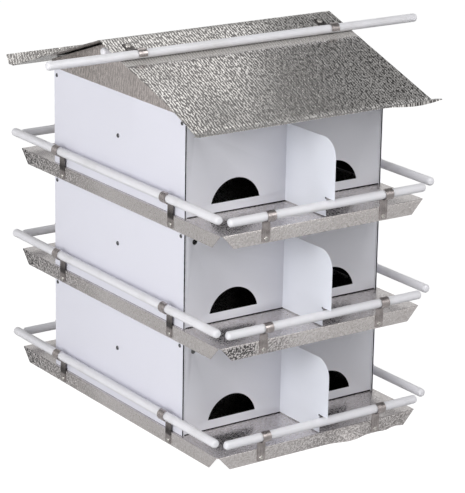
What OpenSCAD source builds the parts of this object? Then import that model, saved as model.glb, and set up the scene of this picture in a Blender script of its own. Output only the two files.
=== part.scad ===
// Purple martin birdhouse: three storeys of sheet aluminium, twelve rooms, porch decks on
// both long sides, plastic perch rails on strap clips and a pitched roof with a perch rod.
// +X runs along the ridge, -Y is the front and +Z is up. The origin is on the floor, midway
// between the ends and between the porches. Every folded sheet is one solid.

/* [House] */
// Height from one deck to the next
storey = 152; // [140:1:200]
// Length of the house along the ridge
house_w = 325; // [300:1:400]
// Depth of the house from front wall to back wall
house_d = 330; // [300:1:400]
// Thickness of every aluminium sheet
sheet = 0.8; // [0.6:0.1:1.2]
// Height of the upper front and back walls
upper_wall_h = 152; // [145:1:210]
// How much lower the upper end panels are than the walls beside them
end_short = 5; // [2:1:10]

/* [Decks] */
// How far the porch floor stands out from the front and back walls
porch = 90; // [70:1:120]
// How far the deck stands out past the end panels
ledge = 3.5; // [2:0.5:8]
// Height of the folded apron below the deck
apron_h = 19.5; // [15:0.5:24]
// How far the apron's ends are cut back at the corners
apron_cut = 20; // [10:1:24]

/* [Walls] */
// Width of the return along each upright edge of an end panel
return_w = 4; // [3:0.5:8]
// Gap under the front walls and the dividers
floor_gap = 1.2; // [0.5:0.1:2]
// Width of an entrance at its sill
entrance_w = 78; // [70:1:90]
// Height of an entrance above its sill
entrance_h = 31; // [26:1:34]
// Height of the sill above the deck
sill_h = 13.5; // [8:0.5:20]
// Diameter of a vent hole
vent_d = 8; // [4:0.5:12]
// Distance of a vent hole from the end of the house
vent_in = 17.5; // [16:0.5:30]
// Height of a vent hole above the deck
vent_h = 118; // [100:1:130]

/* [Porch dividers] */
// How far the divider stands out past the deck
divider_over = 18; // [14:1:24]
// Height of the divider
divider_h = 108; // [90:1:115]
// Radius of the divider's outer top corner
divider_r = 25; // [10:1:40]

/* [Rails] */
// Diameter of the rails, the perch rod and the ridge rod
rod_d = 12; // [10:0.5:14]
// Radius of the rounding at a rod's end
rod_round = 4; // [1:0.5:4.5]
// How far a porch rail stops short of the deck's corners
rail_short = 6; // [2:1:30]
// Height of a porch rail's centre above the deck
porch_rail_h = 19; // [16:0.5:24]
// Height of an end rail's centre above the deck
end_rail_h = 24; // [18:0.5:30]

/* [Clips] */
// Width of a strap clip
clip_w = 13; // [8:0.5:16]
// Thickness of a strap clip
clip_t = 0.8; // [0.6:0.1:1.2]
// Distance of a porch rail's clips from its ends
porch_clip_in = 64; // [20:1:110]
// Distance of an end rail's clips from its ends
end_clip_in = 124; // [40:1:200]
// Height of a strap's foot above the apron's lower edge
strap_foot = 1.5; // [1:0.5:4]

/* [Roof] */
// How far the roof stands out past the end panels
rake_out = 28.5; // [10:0.5:60]
// How far the eaves stand out past the front and back walls
eave_out = 67; // [30:1:90]
// Pitch of the roof in degrees
roof_pitch = 19; // [16:1:26]
// Width of the lip folded up along each eave
lip_w = 17; // [8:1:20]
// Angle of the front eave's lip above level in degrees
front_lip_angle = 12; // [0:1:60]
// Angle of the back eave's lip above level in degrees
back_lip_angle = 58; // [0:1:60]
// How far the lips stand out past the roof's ends
lip_over = 5; // [0:1:10]

/* [Gables] */
// How far a gable plate stands out past the front and back walls
gable_over = 5.5; // [1:0.5:12]
// How far a gable plate laps down over the end panel
gable_lap = 10; // [6:1:20]
// Gap between a gable plate and the roof
gable_gap = 2.5; // [1:0.5:4]

/* [Roof rods] */
// Length of the perch rod
perch_len = 608; // [400:1:700]
// Distance of the perch rod from the ridge, down the slope
perch_run = 56; // [50:1:120]
// Mean distance of the perch clips from the roof's ends
perch_clip_in = 32.5; // [20:0.5:100]
// How far both perch clips are set towards the left end
perch_clip_shift = 2; // [0:1:12]
// Length of a perch clip's strap up the slope
perch_strap = 38; // [20:1:40]
// How far the ridge rod stands out past the end panels
ridge_rod_out = 24.5; // [4:0.5:60]
// Depth of the ridge rod's centre below the ridge
ridge_rod_drop = 17; // [14:1:30]

/* [Hidden] */
$fn = 64;
STOREYS = ["lower", "middle", "upper"];
PIECES = ["deck", "front_wall", "back_wall", "left_end_panel", "right_end_panel", "front_divider",
    "back_divider", "front_rail", "back_rail", "left_rail", "right_rail", "rail_clips"];

ALUMINIUM = "#b9b3ad";
WHITE = "#e6e8ee";
ROD_WHITE = "#eef0f3";
STRAP = "#8f877e";

// quarter turns that carry a front piece to each side
FRONT = 0;
RIGHT = 90;
BACK = 180;
LEFT = 270;

top_storey = len(STOREYS) - 1;
fit = 0.3;                              // gap between pieces that only meet side by side
cut = 1;                                // how far a cutting shape runs past a face
deck_w = house_w + 2 * ledge;
deck_d = house_d + 2 * porch;
wall_w = house_w - 2 * (return_w + fit);
entrance_x = house_w / 4;               // the middle of a room
vent_x = house_w / 2 - vent_in;
divider_reach = porch + divider_over;
rod_r = rod_d / 2;
ring_fit = 0.2;                         // gap between a rod and its clip's ring
ring_in = rod_r + ring_fit;
rod_out = ring_in + clip_t;             // from the face that a strap lies on to the rod's centre
notch_gap = 2;                          // between a porch rail and the divider above it
divider_notch = porch_rail_h + rod_r + notch_gap;
porch_rail = deck_w - 2 * rail_short;
end_rail = deck_d + 2 * rod_out;        // ends level with the porch rails' centre lines
porch_clip_x = porch_rail / 2 - porch_clip_in;
end_clip_y = end_rail / 2 - end_clip_in;
roof_len = house_w + 2 * rake_out;
roof_run = house_d / 2 + eave_out;
gable_d = house_d + 2 * gable_over;
ridge_rod_len = house_w + 2 * ridge_rod_out;
perch_clip_x = roof_len / 2 - perch_clip_in;

// an entrance is the part of a circle above its sill
entrance_r = (pow(entrance_w / 2, 2) + pow(entrance_h, 2)) / (2 * entrance_h);

deck_top = apron_h;
wall_top = top_storey * storey + deck_top + upper_wall_h;
end_top = wall_top - end_short;
slope_t = sheet / cos(roof_pitch);      // the roof sheet's thickness, measured upright
ridge_z = wall_top + fit + slope_t + house_d / 2 * tan(roof_pitch);
eave_z = ridge_z - roof_run * tan(roof_pitch);
ridge_rod_z = ridge_z - ridge_rod_drop;
function underside(y) = ridge_z - slope_t - y * tan(roof_pitch);

// height of a room's walls: up to the next deck, or the given height on the top storey
function room_h(s, top_h) = s == top_storey ? top_h : storey - sheet;

module at_storey(s) {
    translate([0, 0, s * storey + deck_top]) children();
}

// ---- decks

module apron(length) {
    rotate([90, 0, 0])
        linear_extrude(sheet)
            polygon([[-length / 2, 0], [length / 2, 0],
                [length / 2 - apron_cut, -apron_h], [-length / 2 + apron_cut, -apron_h]]);
}

// a porch floor with an apron folded down along each edge, its corners left open
module deck() {
    color(ALUMINIUM) {
        translate([-deck_w / 2, -deck_d / 2, -sheet]) cube([deck_w, deck_d, sheet]);
        for (turn = [FRONT, BACK])
            rotate([0, 0, turn]) translate([0, sheet - deck_d / 2, 0]) apron(deck_w);
        for (turn = [RIGHT, LEFT])
            rotate([0, 0, turn]) translate([0, sheet - deck_w / 2, 0]) apron(deck_d);
    }
}

// ---- walls

module entrance() {
    translate([0, sill_h])
        intersection() {
            translate([0, entrance_h - entrance_r]) circle(entrance_r, $fn = 96);
            translate([-entrance_w / 2 - cut, 0]) square([entrance_w + 2 * cut, entrance_h + cut]);
        }
}

// a front or back wall with an entrance and a vent hole for each of its two rooms
module porch_wall(s, turn) {
    h = room_h(s, upper_wall_h);
    color(WHITE)
        rotate([0, 0, turn])
            translate([0, sheet - house_d / 2, 0])
                rotate([90, 0, 0])
                    linear_extrude(sheet)
                        difference() {
                            translate([-wall_w / 2, floor_gap]) square([wall_w, h - floor_gap]);
                            for (side = [-1, 1]) {
                                translate([side * entrance_x, 0]) entrance();
                                translate([side * vent_x, vent_h]) circle(d = vent_d);
                            }
                        }
}

// an end panel, folded round at both upright edges
module end_panel(s, turn) {
    color(WHITE)
        rotate([0, 0, turn])
            linear_extrude(room_h(s, upper_wall_h - end_short))
                translate([0, -house_w / 2]) {
                    translate([-house_d / 2, 0]) square([house_d, sheet]);
                    translate([-house_d / 2, 0]) square([sheet, return_w]);
                    translate([house_d / 2 - sheet, 0]) square([sheet, return_w]);
                }
}

// ---- dividers

// an upright plate between two porches, notched at the foot so that the rail passes
module divider_shape() {
    difference() {
        union() {
            translate([0, floor_gap]) square([divider_reach - divider_r, divider_h - floor_gap]);
            translate([0, floor_gap]) square([divider_reach, divider_h - divider_r - floor_gap]);
            translate([divider_reach - divider_r, divider_h - divider_r]) circle(divider_r);
        }
        translate([porch, 0]) square([divider_reach, divider_notch]);
    }
}

module divider(turn) {
    color(WHITE)
        rotate([0, 0, turn])
            translate([0, -house_d / 2, 0])
                rotate([90, 0, -90])
                    linear_extrude(sheet, center = true) divider_shape();
}

// ---- rods and clips

// a rod along X with its ends rounded over
module rod(length) {
    color(ROD_WHITE)
        rotate([0, 90, 0])
            rotate_extrude()
                translate([0, -length / 2]) {
                    square([rod_r - rod_round, length]);
                    translate([0, rod_round]) square([rod_r, length - 2 * rod_round]);
                    for (y = [rod_round, length - rod_round])
                        translate([rod_r - rod_round, y])
                            intersection() {
                                circle(rod_round);
                                translate([0, -rod_round]) square([rod_round, 2 * rod_round]);
                            }
                }
}

module porch_rail_at(turn) {
    rotate([0, 0, turn]) translate([0, -deck_d / 2 - rod_out, porch_rail_h]) rod(porch_rail);
}

module end_rail_at(turn) {
    rotate([0, 0, turn]) translate([0, -deck_w / 2 - rod_out, end_rail_h]) rod(end_rail);
}

// a strap bent round a rod that runs along X, centred on the rod. The strap lies against a
// face on the rod's +Y side and reaches down that face by drop.
module clip(drop) {
    color(STRAP)
        rotate([90, 0, -90])
            linear_extrude(clip_w, center = true) {
                difference() {
                    circle(rod_out);
                    circle(ring_in);
                    translate([-2 * rod_out, -2 * rod_out]) square(2 * rod_out);
                }
                translate([-rod_out, -drop]) square([clip_t, drop]);
            }
}

// the clips of the four rails round one deck
module rail_clips() {
    for (turn = [FRONT, BACK])
        for (side = [-1, 1])
            rotate([0, 0, turn])
                translate([side * porch_clip_x, -deck_d / 2 - rod_out, porch_rail_h])
                    clip(porch_rail_h + apron_h - strap_foot);
    for (turn = [RIGHT, LEFT])
        for (side = [-1, 1])
            rotate([0, 0, turn])
                translate([side * end_clip_y, -deck_w / 2 - rod_out, end_rail_h])
                    clip(end_rail_h + apron_h - strap_foot);
}

// ---- roof

// the section of an eave's lip, from the fold's underside out to the tip and back
function lip_points(side, angle) = let (
        fold = sheet * (1 / cos(roof_pitch) - 1 / cos(angle)) / (tan(roof_pitch) + tan(angle)),
        fold_y = roof_run - fold,
        tip_y = roof_run + lip_w * cos(angle),
        tip_z = eave_z + lip_w * sin(angle)
    ) [
        [side * fold_y, underside(fold_y)],
        [side * (tip_y + sheet * sin(angle)), tip_z - sheet * cos(angle)],
        [side * tip_y, tip_z],
        [side * roof_run, eave_z],
    ];

// a sheet folded over the ridge, with a lip turned up along both eaves
module roof() {
    back = lip_points(1, back_lip_angle);
    front = lip_points(-1, front_lip_angle);
    color(ALUMINIUM)
        rotate([90, 0, 90]) {
            linear_extrude(roof_len, center = true)
                polygon(concat([[0, underside(0)]], back, [[0, ridge_z]],
                    [for (i = [len(front) - 1 : -1 : 0]) front[i]]));
            linear_extrude(roof_len + 2 * lip_over, center = true) {
                polygon(back);
                polygon(front);
            }
        }
}

// a plate that closes the roof's end and laps over the end panel
module gable(turn) {
    shoulder = underside(gable_d / 2) - gable_gap;
    color(ALUMINIUM)
        rotate([0, 0, turn])
            translate([0, -house_w / 2, 0])
                rotate([90, 0, 0])
                    linear_extrude(sheet)
                        difference() {
                            polygon([[-gable_d / 2, end_top - gable_lap],
                                [gable_d / 2, end_top - gable_lap], [gable_d / 2, shoulder],
                                [0, underside(0) - gable_gap], [-gable_d / 2, shoulder]]);
                            translate([0, ridge_rod_z]) circle(rod_r + fit);
                        }
}

// carries a piece from the ridge to the front slope, with Y up the slope and Z off it
module on_front_slope(run) {
    translate([0, 0, ridge_z]) rotate([roof_pitch, 0, 0]) translate([0, -run, 0]) children();
}

module ridge_rod() {
    translate([0, 0, ridge_rod_z]) rod(ridge_rod_len);
}

module perch_rod() {
    on_front_slope(perch_run) translate([0, 0, rod_out]) rod(perch_len);
}

// the perch rod's clips, their straps lying up the slope
module perch_clips() {
    on_front_slope(perch_run)
        for (side = [-1, 1])
            translate([side * perch_clip_x - perch_clip_shift, 0, rod_out])
                rotate([90, 0, 0]) rotate([0, 0, 180]) clip(perch_strap);
}

for (s = [0 : top_storey]) {
    at_storey(s) deck();
    at_storey(s) porch_wall(s, FRONT);
    at_storey(s) porch_wall(s, BACK);
    at_storey(s) end_panel(s, LEFT);
    at_storey(s) end_panel(s, RIGHT);
    at_storey(s) divider(FRONT);
    at_storey(s) divider(BACK);
    at_storey(s) porch_rail_at(FRONT);
    at_storey(s) porch_rail_at(BACK);
    at_storey(s) end_rail_at(LEFT);
    at_storey(s) end_rail_at(RIGHT);
    at_storey(s) rail_clips();
}
roof();
gable(LEFT);  // left_gable
gable(RIGHT);  // right_gable
ridge_rod();
perch_rod();
perch_clips();
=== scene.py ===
"""Purple martin birdhouse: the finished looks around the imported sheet-metal frame.

Three storeys of enamelled sheet walls stand on embossed aluminium decks. White plastic perch
rails sit in bent strap clips, and a folded, embossed roof carries a perch rod.
"""

import logging
import math
from contextlib import contextmanager
from dataclasses import dataclass, field
from enum import Enum
from typing import Callable, Iterator

import bmesh
import bpy
from mathutils import Matrix, Vector


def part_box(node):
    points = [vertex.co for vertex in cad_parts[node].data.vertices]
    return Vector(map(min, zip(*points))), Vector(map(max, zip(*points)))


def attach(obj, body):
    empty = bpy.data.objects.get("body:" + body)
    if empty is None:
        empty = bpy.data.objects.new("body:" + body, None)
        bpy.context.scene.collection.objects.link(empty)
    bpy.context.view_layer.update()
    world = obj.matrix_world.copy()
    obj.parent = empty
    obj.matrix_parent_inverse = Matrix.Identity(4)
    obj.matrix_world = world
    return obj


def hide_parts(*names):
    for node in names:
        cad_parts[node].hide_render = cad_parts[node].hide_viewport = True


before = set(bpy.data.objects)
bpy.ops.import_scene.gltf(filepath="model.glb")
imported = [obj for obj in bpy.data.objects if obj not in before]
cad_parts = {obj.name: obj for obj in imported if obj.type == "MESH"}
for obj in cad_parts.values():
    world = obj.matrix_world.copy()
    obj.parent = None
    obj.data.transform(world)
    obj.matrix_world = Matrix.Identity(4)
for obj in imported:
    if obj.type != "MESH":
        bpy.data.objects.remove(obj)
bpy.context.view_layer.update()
log = logging.getLogger("martin_house")

MM = 0.001
NEAR = 0.01 * MM  # places closer than this are the same place
BODY = "root"
STOREYS = ("lower", "middle", "upper")

Spot = tuple[float, float, float]
Colour = tuple[float, float, float]
Range = tuple[float, float]
Piece = bpy.types.Object
Socket = bpy.types.NodeSocket
Value = Socket | float
Test = Callable[[Vector, Vector], bool]
MapPoint = Callable[[Vector, Vector], tuple[float, float]]
Tones = tuple[tuple[float, float], ...]

WHITE: Colour = (1, 1, 1)
END_COAT: Colour = (0.785, 0.785, 0.865)
STRAP_BRIGHT: Colour = (0.58, 0.55, 0.52)
STRAP_DARK: Colour = (0.30, 0.275, 0.26)
NOWHERE: Spot = (0, 0, 0)
# Along the lower front apron: the middle and half-width of each dent, its bulge and its lift.
DENTS = (
    (50 * MM, 38 * MM, 8.0 * MM, 0.7 * MM),
    (112 * MM, 9 * MM, 2.5 * MM, 0.4 * MM),
    (132 * MM, 16 * MM, 0.0, 1.8 * MM),
)


def close(first: float, second: float = 0) -> bool:
    """Says whether two places along one axis are the same."""
    return abs(first - second) < NEAR


class Part(Enum):
    """What an edit-mode selection is made of."""

    VERT = "VERT"
    EDGE = "EDGE"
    FACE = "FACE"


class Axis(Enum):
    """The direction that a rod lies in, as the turn that lays an upright cylinder along it."""

    ALONG_RIDGE = (0.0, math.pi / 2, 0.0)
    ACROSS_HOUSE = (-math.pi / 2, 0.0, 0.0)


class Slot(Enum):
    """The record's material slots."""

    SHEET = "embossed_sheet"
    ENAMEL = "white_enamel"
    ROD = "white_rod"
    STRAP = "strap_metal"


class Turn(Enum):
    """The quarter turns that carry a front piece to each side of the house."""

    FRONT = 0.0
    RIGHT = math.pi / 2
    BACK = math.pi
    LEFT = -math.pi / 2


# ---------------------------------------------------------------- edit-mode bench


class Bench:
    """The edit-mode moves that every sheet, rod and fastener is made with."""

    @staticmethod
    def hold(*pieces: Piece) -> None:
        """Selects pieces and nothing else, and makes the first of them active.

        Args:
            pieces: The objects to select.
        """
        bpy.ops.object.select_all(action="DESELECT")
        for piece in pieces:
            piece.select_set(True)
        bpy.context.view_layer.objects.active = pieces[0]

    @staticmethod
    @contextmanager
    def editing(piece: Piece, part: Part) -> Iterator[None]:
        """Opens a piece in edit mode with nothing selected, and closes it again.

        Args:
            piece: The mesh object to work on.
            part: What the selections inside are made of.
        """
        Bench.hold(piece)
        bpy.ops.object.mode_set(mode="EDIT")
        bpy.ops.mesh.select_mode(type=part.value)
        bpy.ops.mesh.select_all(action="DESELECT")
        try:
            yield
        finally:
            bpy.ops.object.mode_set(mode="OBJECT")

    @staticmethod
    def pick(piece: Piece, part: Part, test: Test) -> int:
        """Selects the vertices, edges or faces whose place passes a test, and nothing else.

        Args:
            piece: The object in edit mode.
            part: What is selected.
            test: Called with the middle of each one, and its normal or, for an edge, its run.

        Returns:
            How many were selected.
        """
        bpy.ops.mesh.select_all(action="DESELECT")
        mesh = bmesh.from_edit_mesh(piece.data)
        found = 0
        if part is Part.VERT:
            rows = [(v, v.co, v.normal) for v in mesh.verts]
        elif part is Part.EDGE:
            rows = [
                (e, (e.verts[0].co + e.verts[1].co) / 2, e.verts[1].co - e.verts[0].co)
                for e in mesh.edges
            ]
        else:
            rows = [(f, f.calc_center_median(), f.normal) for f in mesh.faces]
        for item, middle, way in rows:
            if test(middle, way):
                item.select_set(True)
                found += 1
        bmesh.update_edit_mesh(piece.data)
        return found

    @staticmethod
    def settle(name: str) -> Piece:
        """Names the primitive just added and writes its place into its mesh.

        Args:
            name: The piece's name.

        Returns:
            The new object.
        """
        piece = bpy.context.active_object
        piece.name = piece.data.name = name
        bpy.ops.object.transform_apply(location=True, rotation=True, scale=True)
        return piece

    @staticmethod
    def plane(name: str, middle: Spot, turn: Spot, size: Spot) -> Piece:
        """Adds a flat sheet blank at its place.

        Args:
            name: The piece's name.
            middle: The middle of the blank.
            turn: Its turn about X, Y and Z.
            size: How far it is stretched along X, Y and Z, 1 where it has no extent.

        Returns:
            The new object, with its place in its mesh.
        """
        bpy.ops.object.select_all(action="DESELECT")
        bpy.ops.mesh.primitive_plane_add(size=1, location=middle, rotation=turn)
        piece = Bench.settle(name)
        with Bench.editing(piece, Part.VERT):
            bpy.ops.mesh.select_all(action="SELECT")
            bpy.ops.transform.resize(value=size, center_override=middle)
        return piece

    @staticmethod
    def cylinder(
        name: str, sides: int, radius: float, depth: float, middle: Spot, turn: Spot
    ) -> Piece:
        """Adds a cylinder at its place.

        Args:
            name: The piece's name.
            sides: How many sides stand for its round face.
            radius: Its radius.
            depth: Its length.
            middle: Its middle.
            turn: Its turn about X, Y and Z, where it stands upright without one.

        Returns:
            The new object, with its place in its mesh.
        """
        bpy.ops.object.select_all(action="DESELECT")
        bpy.ops.mesh.primitive_cylinder_add(
            vertices=sides, radius=radius, depth=depth, location=middle, rotation=turn
        )
        return Bench.settle(name)

    @staticmethod
    def fold_out(shift: Spot, stretch: Spot = (1, 1, 1), about: Spot = NOWHERE) -> None:
        """Extrudes the selected edges and stretches the new edge.

        Args:
            shift: How far the new edge lies from the old one.
            stretch: How far the new edge is stretched along X, Y and Z.
            about: The point that it is stretched about.
        """
        bpy.ops.mesh.extrude_region_move(TRANSFORM_OT_translate={"value": shift})
        if stretch != (1, 1, 1):
            bpy.ops.transform.resize(value=stretch, center_override=about)

    @staticmethod
    def modify(piece: Piece, kind: str, **settings: object) -> None:
        """Adds a modifier, sets it and applies it.

        Args:
            piece: The object to change.
            kind: The modifier's type.
            settings: The modifier's properties.
        """
        Bench.hold(piece)
        modifier = piece.modifiers.new(kind.lower(), kind)
        for key, value in settings.items():
            setattr(modifier, key, value)
        bpy.ops.object.modifier_apply(modifier=modifier.name)

    @staticmethod
    def face_towards(piece: Piece, way: Spot) -> None:
        """Makes an open sheet's normals agree.

        Args:
            piece: The sheet.
            way: The way that its widest face looks.
        """
        with Bench.editing(piece, Part.FACE):
            bpy.ops.mesh.select_all(action="SELECT")
            bpy.ops.mesh.normals_make_consistent(inside=False)
            mesh = bmesh.from_edit_mesh(piece.data)
            widest = max(mesh.faces, key=lambda f: f.calc_area())
            if widest.normal.dot(Vector(way)) < 0:
                bpy.ops.mesh.flip_normals()

    @staticmethod
    def thicken(piece: Piece, sheet: float, way: Spot, edge: float = 0.15 * MM) -> None:
        """Gives a sheet skin its thickness behind it, and eases its cut edges.

        Args:
            piece: The open skin, which is the sheet's outer face.
            sheet: The sheet's thickness.
            way: The way that the widest face looks.
            edge: The rounding of the cut edges.
        """
        Bench.face_towards(piece, way)
        Bench.modify(piece, "SOLIDIFY", thickness=sheet, offset=-1, use_even_offset=True)
        Bench.modify(piece, "BEVEL", width=edge, segments=1, limit_method="ANGLE", angle_limit=1.2)
        Bench.smooth(piece)

    @staticmethod
    def smooth(piece: Piece, angle: float = math.radians(32)) -> None:
        """Shades a piece smooth across bends flatter than an angle."""
        Bench.hold(piece)
        bpy.ops.object.shade_smooth_by_angle(angle=angle, keep_sharp_edges=False)

    @staticmethod
    def repeat(pattern: Piece, name: str, places: list[Matrix]) -> Piece:
        """Copies a pattern to several places and joins the copies into one piece.

        Args:
            pattern: The piece modelled once at the origin. It is removed.
            name: The joined piece's name.
            places: Where each copy goes, at least two.

        Returns:
            The joined piece, with its place in its mesh.
        """
        copies = []
        for place in places:
            copy = bpy.data.objects.new(name, pattern.data.copy())
            bpy.context.scene.collection.objects.link(copy)
            copy.matrix_world = place
            copies.append(copy)
        bpy.data.objects.remove(pattern)
        Bench.hold(*copies)
        bpy.ops.object.transform_apply(location=True, rotation=True, scale=True)
        return Bench.join(name, copies)

    @staticmethod
    def join(name: str, pieces: list[Piece]) -> Piece:
        """Joins two or more pieces into one.

        Args:
            name: The joined piece's name.
            pieces: The pieces, of which the first takes in the others.

        Returns:
            The joined piece.
        """
        Bench.hold(*pieces)
        bpy.ops.object.join()
        joined = pieces[0]
        joined.name = joined.data.name = name
        return joined

    @staticmethod
    def map_sheet(piece: Piece, place: MapPoint) -> None:
        """Writes a map of the sheet laid out flat, in metres, for its embossing.

        Args:
            piece: The finished sheet.
            place: Gives a corner's place on the flat sheet from its point and face normal.
        """
        while piece.data.uv_layers:
            piece.data.uv_layers.remove(piece.data.uv_layers[0])
        layer = piece.data.uv_layers.new(name="flat_sheet")
        for face in piece.data.polygons:
            for loop in face.loop_indices:
                point = piece.data.vertices[piece.data.loops[loop].vertex_index].co
                layer.data[loop].uv = place(point, face.normal)


# ---------------------------------------------------------------- finishes


def even(number: float) -> Spot:
    """Gives the same number along X, Y and Z."""
    return (number, number, number)


class Graph:
    """A short way to lay out and join the nodes of one tree."""

    BAND_STEP = math.pi / 10  # the wave texture's own distance between bands
    BAND_DETAIL = 0.5

    def __init__(self, tree: bpy.types.NodeTree) -> None:
        """Starts with the tree emptied."""
        self.tree = tree
        tree.nodes.clear()

    def add(self, kind: str, **settings: object) -> bpy.types.Node:
        """Adds a node and sets its properties.

        Args:
            kind: The node's type.
            settings: Its properties.

        Returns:
            The node.
        """
        node = self.tree.nodes.new(kind)
        for key, value in settings.items():
            setattr(node, key, value)
        return node

    def join(self, start: Socket, end: Socket) -> None:
        """Links an output to an input."""
        self.tree.links.new(start, end)

    def ray(self, kind: str) -> Socket:
        """Gives 1 to rays of one kind, such as "Glossy", and 0 to all others."""
        return self.add("ShaderNodeLightPath").outputs[f"Is {kind} Ray"]

    def seen(self) -> Socket:
        """Gives 1 to what is seen straight, in metal or through glass, and 0 to plain light."""
        straight = self.math("MAXIMUM", self.ray("Camera"), self.ray("Glossy"))
        return self.math("MAXIMUM", straight, self.ray("Transmission"))

    def feed(self, socket: Socket, value: Value | Colour) -> None:
        """Gives an input its value.

        Args:
            socket: The input.
            value: An output to join to it, or a number, vector or colour to set it to.
        """
        if isinstance(value, (int, float)):
            socket.default_value = value
        elif isinstance(value, tuple):
            socket.default_value = (*value, 1)[: len(socket.default_value)]
        else:
            self.join(value, socket)

    def place(self, source: str, per_metre: Spot, turn: float = 0) -> Socket:
        """Gives turned and scaled coordinates.

        Args:
            source: "Object" or "UV".
            per_metre: How often the pattern repeats in a metre along X, Y and Z.
            turn: The turn of the pattern about Z in radians.

        Returns:
            The vector output.
        """
        coordinates = self.add("ShaderNodeTexCoord")
        mapping = self.add("ShaderNodeMapping", vector_type="TEXTURE")
        mapping.inputs["Rotation"].default_value = (0, 0, turn)
        mapping.inputs["Scale"].default_value = tuple(1 / times for times in per_metre)
        self.join(coordinates.outputs[source], mapping.inputs["Vector"])
        return mapping.outputs["Vector"]

    def axis(self, source: str, name: str) -> Socket:
        """Gives one axis of a point's coordinates or of its normal.

        Args:
            source: "Object" or "UV" in metres, "Generated" or "Normal".
            name: "X", "Y" or "Z".

        Returns:
            The value output.
        """
        coordinates = self.add("ShaderNodeTexCoord")
        split = self.add("ShaderNodeSeparateXYZ")
        self.join(coordinates.outputs[source], split.inputs[0])
        return split.outputs[name]

    def noise(self, vector: Socket, detail: float = 2, warp: float = 0) -> Socket:
        """Adds a noise pattern.

        Args:
            vector: The coordinates, one spot of the pattern to a unit.
            detail: How many finer layers it has.
            warp: How far it is distorted.

        Returns:
            The pattern's height, from 0 to 1.
        """
        noise = self.add("ShaderNodeTexNoise")
        for key, value in (("Scale", 1), ("Detail", detail), ("Distortion", warp)):
            noise.inputs[key].default_value = value
        self.join(vector, noise.inputs["Vector"])
        return noise.outputs["Fac"]

    def spots(self, per_metre: Spot, detail: float = 2) -> Socket:
        """Gives a noise pattern with so many spots in a metre of the object."""
        return self.noise(self.place("Object", per_metre), detail)

    def bands(self, vector: Socket, period: float, distortion: Value, grain: float) -> Socket:
        """Adds wavering parallel bands across X.

        Args:
            vector: The coordinates in metres.
            period: The distance from band to band.
            distortion: How far the bands waver.
            grain: The length of one waver.

        Returns:
            The bands' height, from 0 to 1.
        """
        wave = self.add("ShaderNodeTexWave", wave_type="BANDS", bands_direction="X")
        scale = self.BAND_STEP / period
        wave.inputs["Scale"].default_value = scale
        self.feed(wave.inputs["Distortion"], distortion)
        wave.inputs["Detail"].default_value = self.BAND_DETAIL
        wave.inputs["Detail Scale"].default_value = 1 / grain / scale
        self.join(vector, wave.inputs["Vector"])
        return wave.outputs["Fac"]

    def ramp(self, value: Socket, stops: list[tuple[float, Colour]]) -> Socket:
        """Turns a value into a colour by evenly blended stops.

        Args:
            value: A value from 0 to 1.
            stops: The places of the stops, at least two, and their colours.

        Returns:
            The colour output.
        """
        ramp = self.add("ShaderNodeValToRGB")
        elements = ramp.color_ramp.elements
        while len(elements) < len(stops):
            elements.new(0.5)
        for element, (position, colour) in zip(elements, stops):
            element.position = position
            element.color = (*colour, 1)
        self.join(value, ramp.inputs["Fac"])
        return ramp.outputs["Color"]

    def span(
        self,
        value: Socket,
        low: float,
        high: float,
        to_low: float,
        to_high: float,
        kind: str = "LINEAR",
    ) -> Socket:
        """Carries a value from one range to another, held at its ends.

        Args:
            value: The value.
            low: The range's low end.
            high: Its high end.
            to_low: What the low end becomes.
            to_high: What the high end becomes.
            kind: The node's interpolation.

        Returns:
            The carried value.
        """
        span = self.add("ShaderNodeMapRange", interpolation_type=kind)
        ends = (("From Min", low), ("From Max", high), ("To Min", to_low), ("To Max", to_high))
        for key, number in ends:
            span.inputs[key].default_value = number
        self.join(value, span.inputs["Value"])
        return span.outputs["Result"]

    def math(self, kind: str, first: Value, second: Value) -> Socket:
        """Adds a sum, product or other step on two values.

        Args:
            kind: The node's operation.
            first: The first value.
            second: The second value.

        Returns:
            The result.
        """
        node = self.add("ShaderNodeMath", operation=kind)
        for socket, value in zip(node.inputs, (first, second)):
            self.feed(socket, value)
        return node.outputs["Value"]

    def mix(
        self, share: Value, first: Socket | Colour, second: Socket | Colour, blend: str = "MIX"
    ) -> Socket:
        """Mixes two colours.

        Args:
            share: How far the second colour counts, from 0 to 1.
            first: The first colour.
            second: The second colour.
            blend: The node's way of blending.

        Returns:
            The colour output.
        """
        node = self.add("ShaderNodeMix", data_type="RGBA", blend_type=blend)
        self.feed(node.inputs["Factor"], share)
        for socket, colour in zip((node.inputs[6], node.inputs[7]), (first, second)):
            self.feed(socket, colour)
        return node.outputs[2]

    def bump(
        self, height: Socket, depth: float, strength: Value, under: Socket | None = None
    ) -> Socket:
        """Adds a bump, over another one if given.

        Args:
            height: The relief's height, from 0 to 1.
            depth: Its depth in metres.
            strength: How strongly it shows.
            under: The normal of the bump below it.

        Returns:
            The normal output.
        """
        bump = self.add("ShaderNodeBump")
        self.feed(bump.inputs["Strength"], strength)
        bump.inputs["Distance"].default_value = depth
        self.join(height, bump.inputs["Height"])
        if under is not None:
            self.join(under, bump.inputs["Normal"])
        return bump.outputs["Normal"]


class Nodes(Graph):
    """The nodes of one material: a shader, its output and what feeds them."""

    def __init__(self, name: str, **values: float | Colour) -> None:
        """Starts a material.

        Args:
            name: The material's name.
            values: The shader's constant inputs, named as in wear.
        """
        self.material = bpy.data.materials.new(name)
        self.material.use_nodes = True
        super().__init__(self.material.node_tree)
        self.shader = self.add("ShaderNodeBsdfPrincipled")
        self.output = self.add("ShaderNodeOutputMaterial")
        self.join(self.shader.outputs["BSDF"], self.output.inputs["Surface"])
        self.wear(**values)

    def wear(self, **values: Value | Colour) -> None:
        """Gives the shader's inputs their values, with spaces written as underscores."""
        for key, value in values.items():
            self.feed(self.shader.inputs[key.replace("_", " ")], value)


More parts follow.
